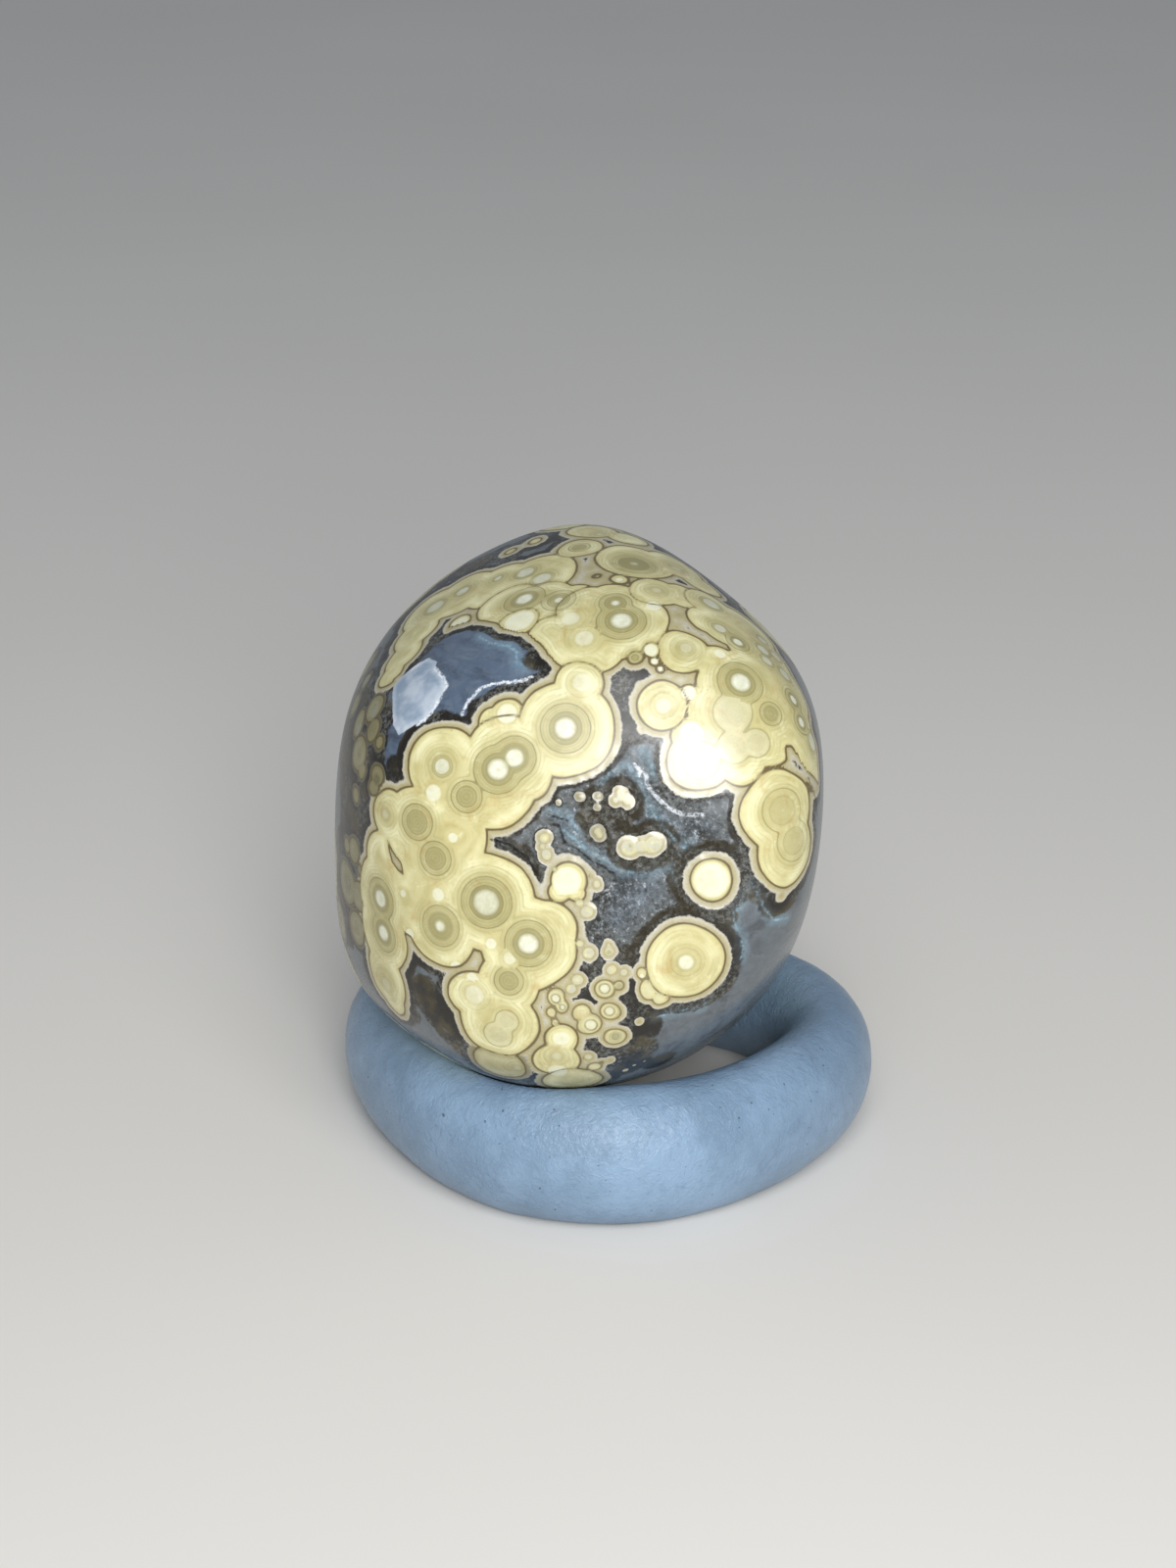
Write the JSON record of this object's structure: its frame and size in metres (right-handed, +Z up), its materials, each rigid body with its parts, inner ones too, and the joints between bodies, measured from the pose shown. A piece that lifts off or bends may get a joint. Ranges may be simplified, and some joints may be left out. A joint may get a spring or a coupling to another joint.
{
  "type": "eye agate on a ring stand",
  "caption": "Polished, rounded eye agate pebble standing in a small hand-formed ring with a flat underside.",
  "frame": {"origin": "under the middle of the whole object's bounding box, on the surface that the ring rests on", "axes": "+Z up, -Y towards the front that the picture shows, +X towards the picture's right"},
  "size_m": [0.0278, 0.0278, 0.0309],
  "materials": {
    "eye_agate": "polished, waxy gloss",
    "ring_stand": "satin, hand-smoothed clay-like"
  },
  "bodies": {
    "root": {"eye_agate": "eye_agate", "ring_stand": "ring_stand"}
  },
  "joints": []
}
